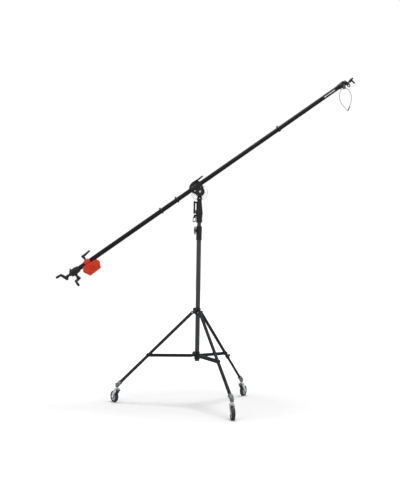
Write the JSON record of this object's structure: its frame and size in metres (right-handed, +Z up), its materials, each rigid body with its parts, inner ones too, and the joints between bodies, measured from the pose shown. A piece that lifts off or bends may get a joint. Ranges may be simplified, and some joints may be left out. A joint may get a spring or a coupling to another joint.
{
  "type": "boom pole",
  "caption": "Long black boom tube with crank-driven tip head and red sliding counterweight, tilting on a telescopic tripod stand with swivel casters.",
  "frame": {"origin": "middle of the bottom of the bounding box, on the floor under the wheels", "axes": "+Z up; the boom lies in the XZ plane at rest with its high end towards +X; +Y is across the boom"},
  "size_m": [2.6988, 1.3674, 3.0118],
  "materials": {
    "boom_black": "black anodised, satin",
    "stand_black": "black semi-gloss coating on steel tube",
    "cast_black": "black powder-coated casting",
    "knob_black": "black moulded plastic",
    "cast_grey": "bare grey casting",
    "zinc": "zinc-plated pressed steel",
    "bright": "bright turned steel",
    "tyre_grey": "dark grey rubber tread",
    "hub_grey": "light grey moulded hub",
    "red_iron": "cast iron, red enamel",
    "red_plastic": "red plastic sleeve",
    "wire": "clear-coated steel wire rope",
    "black_steel": "black coated steel"
  },
  "bodies": {
    "column": {"column_tube": "stand_black", "column_collar": "cast_black", "brace_hub": "cast_black"},
    "column_knob": {"column_knob": "knob_black"},
    "brace_hub_knob": {"brace_hub_knob": "knob_black"},
    "leg_hub": {"leg_hub": "cast_black"},
    "leg_hub_knob": {"leg_hub_knob": "knob_black"},
    "leg_left": {"leg_left": "stand_black", "brace_clip_left": "cast_black", "caster_socket_left": "cast_grey"},
    "brace_left": {"brace_left": "stand_black"},
    "caster_left": {"caster_fork_left": "zinc"},
    "wheel_left": {"caster_tyre_left": "tyre_grey", "caster_wheel_left": "hub_grey"},
    "brake_pedal_left": {"brake_pedal_left": "knob_black"},
    "leg_front": {"leg_front": "stand_black", "brace_clip_front": "cast_black", "caster_socket_front": "cast_grey"},
    "brace_front": {"brace_front": "stand_black"},
    "caster_front": {"caster_fork_front": "zinc"},
    "wheel_front": {"caster_tyre_front": "tyre_grey", "caster_wheel_front": "hub_grey"},
    "brake_pedal_front": {"brake_pedal_front": "knob_black"},
    "leg_rear": {"leg_rear": "stand_black", "brace_clip_rear": "cast_black", "levelling_clamp": "cast_black"},
    "levelling_leg": {"levelling_leg": "stand_black", "caster_socket_rear": "cast_grey"},
    "levelling_knob": {"levelling_knob": "knob_black"},
    "brace_rear": {"brace_rear": "stand_black"},
    "caster_rear": {"caster_fork_rear": "zinc"},
    "wheel_rear": {"caster_tyre_rear": "tyre_grey", "caster_wheel_rear": "hub_grey"},
    "brake_pedal_rear": {"brake_pedal_rear": "knob_black"},
    "riser_1": {"riser_1_tube": "stand_black", "riser_1_collar": "cast_black"},
    "riser_1_lever": {"riser_1_lever": "cast_grey"},
    "riser_2": {"riser_2_tube": "stand_black", "top_casting": "cast_black"},
    "top_lever": {"top_lever": "cast_black"},
    "boom_knuckle": {"boom_knuckle": "cast_black"},
    "tilt_head": {"boom_clamp": "cast_black", "friction_disc": "bright", "tilt_bolt": "bright"},
    "clamp_lever": {"clamp_lever": "cast_grey"},
    "boom": {"boom_tube": "boom_black", "tail_stop_ring": "cast_black", "clamp_stop_ring": "cast_black", "tip_stop_ring": "cast_black", "tail_gearbox": "cast_black", "tip_head": "cast_grey", "safety_cable": "wire", "cable_clip": "red_plastic"},
    "counterweight": {"counterweight": "red_iron"},
    "weight_lever": {"weight_lever": "black_steel"},
    "pan_crank": {"pan_crank": "cast_black"},
    "tilt_crank": {"tilt_crank": "cast_black"},
    "tip_yoke": {"tip_yoke": "cast_black"},
    "tip_spigot": {"tip_spigot": "black_steel"}
  },
  "joints": [
    {"name": "leg_hub_slide", "type": "slide", "parent": "column", "child": "leg_hub", "axis": [0, 0, 1], "range_m": [0, 0.5315]},
    {"name": "leg_left_fold", "type": "hinge", "parent": "leg_hub", "child": "leg_left", "pos_m": [-0.14978, 0.12116, 0.8169], "axis": [-0.2802, -0.96, 0], "range_deg": [0, 31.2]},
    {"name": "brace_left_fold", "type": "hinge", "parent": "column", "child": "brace_left", "pos_m": [-0.13634, 0.11724, 0.4365], "axis": [0.2802, 0.96, 0], "range_deg": [0, 69.8]},
    {"name": "caster_left_swivel", "type": "hinge", "parent": "leg_left", "child": "caster_left", "pos_m": [-0.79199, 0.30859, 0.14], "axis": [0, 0, 1], "continuous": true},
    {"name": "wheel_left_spin", "type": "hinge", "parent": "caster_left", "child": "wheel_left", "pos_m": [-0.81136, 0.34921, 0.05], "axis": [-0.9026, -0.4305, 0], "continuous": true},
    {"name": "brake_pedal_left_press", "type": "hinge", "parent": "caster_left", "child": "brake_pedal_left", "pos_m": [-0.79199, 0.30859, 0.101], "axis": [0.9026, 0.4305, 0], "range_deg": [0, 18]},
    {"name": "leg_front_fold", "type": "hinge", "parent": "leg_hub", "child": "leg_front", "pos_m": [-0.09231, 0.06109, 0.8169], "axis": [0.9714, 0.2373, 0], "range_deg": [0, 31.2]},
    {"name": "brace_front_fold", "type": "hinge", "parent": "column", "child": "brace_front", "pos_m": [-0.09563, 0.07469, 0.4365], "axis": [-0.9714, -0.2373, 0], "range_deg": [0, 69.8]},
    {"name": "caster_front_swivel", "type": "hinge", "parent": "leg_front", "child": "caster_front", "pos_m": [0.06648, -0.5888, 0.14], "axis": [0, 0, 1], "continuous": true},
    {"name": "wheel_front_spin", "type": "hinge", "parent": "caster_front", "child": "wheel_front", "pos_m": [0.06451, -0.63375, 0.05], "axis": [0.999, -0.0436, 0], "continuous": true},
    {"name": "brake_pedal_front_press", "type": "hinge", "parent": "caster_front", "child": "brake_pedal_front", "pos_m": [0.06648, -0.5888, 0.101], "axis": [-0.999, 0.0436, 0], "range_deg": [0, 18]},
    {"name": "leg_rear_fold", "type": "hinge", "parent": "leg_hub", "child": "leg_rear", "pos_m": [-0.06902, 0.14089, 0.8169], "axis": [-0.6913, 0.7226, 0], "range_deg": [0, 31.2]},
    {"name": "brace_rear_fold", "type": "hinge", "parent": "column", "child": "brace_rear", "pos_m": [-0.07913, 0.13122, 0.4365], "axis": [0.6913, -0.7226, 0], "range_deg": [0, 69.8]},
    {"name": "levelling_slide", "type": "slide", "parent": "leg_rear", "child": "levelling_leg", "axis": [0.5127, 0.4905, -0.7046], "range_m": [-0.24, 0.15]},
    {"name": "levelling_knob_turn", "type": "hinge", "parent": "leg_rear", "child": "levelling_knob", "pos_m": [0.24478, 0.44108, 0.38566], "axis": [0.5092, 0.4871, 0.7096], "range_deg": [0, 360]},
    {"name": "caster_rear_swivel", "type": "hinge", "parent": "levelling_leg", "child": "caster_rear", "pos_m": [0.41441, 0.60335, 0.14], "axis": [0, 0, 1], "continuous": true},
    {"name": "wheel_rear_spin", "type": "hinge", "parent": "caster_rear", "child": "wheel_rear", "pos_m": [0.4418, 0.63905, 0.05], "axis": [-0.7934, 0.6088, 0], "continuous": true},
    {"name": "brake_pedal_rear_press", "type": "hinge", "parent": "caster_rear", "child": "brake_pedal_rear", "pos_m": [0.41441, 0.60335, 0.101], "axis": [0.7934, -0.6088, 0], "range_deg": [0, 18]},
    {"name": "column_knob_turn", "type": "hinge", "parent": "column", "child": "column_knob", "pos_m": [-0.1323, 0.1125, 1.5455], "axis": [-0.9863, 0.165, 0], "range_deg": [0, 360]},
    {"name": "leg_hub_knob_turn", "type": "hinge", "parent": "leg_hub", "child": "leg_hub_knob", "pos_m": [-0.12525, 0.08831, 0.843], "axis": [-0.7431, -0.6691, 0], "range_deg": [0, 360]},
    {"name": "brace_hub_knob_turn", "type": "hinge", "parent": "column", "child": "brace_hub_knob", "pos_m": [-0.12451, 0.08898, 0.458], "axis": [-0.7431, -0.6691, 0], "range_deg": [0, 360]},
    {"name": "riser_1_slide", "type": "slide", "parent": "column", "child": "riser_1", "axis": [0, 0, 1], "range_m": [-0.033, 0.85]},
    {"name": "riser_1_lever_swing", "type": "hinge", "parent": "riser_1", "child": "riser_1_lever", "pos_m": [-0.14217, 0.11415, 1.68], "axis": [0.165, 0.9863, 0], "range_deg": [0, 90]},
    {"name": "riser_2_slide", "type": "slide", "parent": "riser_1", "child": "riser_2", "axis": [0, 0, 1], "range_m": [0, 0.95]},
    {"name": "top_lever_swing", "type": "hinge", "parent": "riser_2", "child": "top_lever", "pos_m": [-0.14808, 0.11514, 1.796], "axis": [0.165, 0.9863, 0], "range_deg": [0, 80]},
    {"name": "boom_pan", "type": "hinge", "parent": "riser_2", "child": "boom_knuckle", "pos_m": [-0.1037, 0.10771, 1.825], "axis": [0, 0, 1], "continuous": true},
    {"name": "boom_tilt", "type": "hinge", "parent": "boom_knuckle", "child": "tilt_head", "pos_m": [-0.1037, 0.10771, 1.892], "axis": [0, 1, 0], "range_deg": [-25, 75]},
    {"name": "clamp_lever_swing", "type": "hinge", "parent": "tilt_head", "child": "clamp_lever", "pos_m": [-0.135, 0.09571, 1.99189], "axis": [0, -1, 0], "range_deg": [0, 120]},
    {"name": "boom_slide", "type": "slide", "parent": "tilt_head", "child": "boom", "axis": [0.8054, 0, 0.5927], "range_m": [-0.87, 0.14]},
    {"name": "counterweight_slide", "type": "slide", "parent": "boom", "child": "counterweight", "axis": [0.8054, 0, 0.5927], "range_m": [-0.008, 0.69]},
    {"name": "weight_lever_turn", "type": "hinge", "parent": "counterweight", "child": "weight_lever", "pos_m": [-1.10852, 0.10771, 1.27669], "axis": [-0.5927, 0, 0.8054], "range_deg": [0, 330]},
    {"name": "pan_crank_turn", "type": "hinge", "parent": "boom", "child": "pan_crank", "pos_m": [-1.24031, 0.10771, 1.12508], "axis": [0.8054, 0, 0.5927], "range_deg": [-360, 360]},
    {"name": "tilt_crank_turn", "type": "hinge", "parent": "boom", "child": "tilt_crank", "pos_m": [-1.16201, 0.10771, 1.11317], "axis": [-0.5927, 0, 0.8054], "range_deg": [-360, 360]},
    {"name": "head_pan", "type": "hinge", "parent": "boom", "child": "tip_yoke", "pos_m": [1.24676, 0.10771, 2.95039], "axis": [0.8054, 0, 0.5927], "range_deg": [-90, 90]},
    {"name": "head_tilt", "type": "hinge", "parent": "tip_yoke", "child": "tip_spigot", "pos_m": [1.28443, 0.10771, 2.95825], "axis": [0, 1, 0], "range_deg": [-45, 45]}
  ],
  "couplings": [
    {"joint": "leg_left_fold", "follows": "leg_hub_slide", "rad_per_m": 1.0245},
    {"joint": "brace_left_fold", "follows": "leg_hub_slide", "rad_per_m": 2.2921},
    {"joint": "leg_front_fold", "follows": "leg_hub_slide", "rad_per_m": 1.0245},
    {"joint": "brace_front_fold", "follows": "leg_hub_slide", "rad_per_m": 2.2921},
    {"joint": "leg_rear_fold", "follows": "leg_hub_slide", "rad_per_m": 1.0245},
    {"joint": "brace_rear_fold", "follows": "leg_hub_slide", "rad_per_m": 2.2921},
    {"joint": "head_pan", "follows": "pan_crank_turn", "ratio": 0.25},
    {"joint": "head_tilt", "follows": "tilt_crank_turn", "ratio": 0.125}
  ]
}
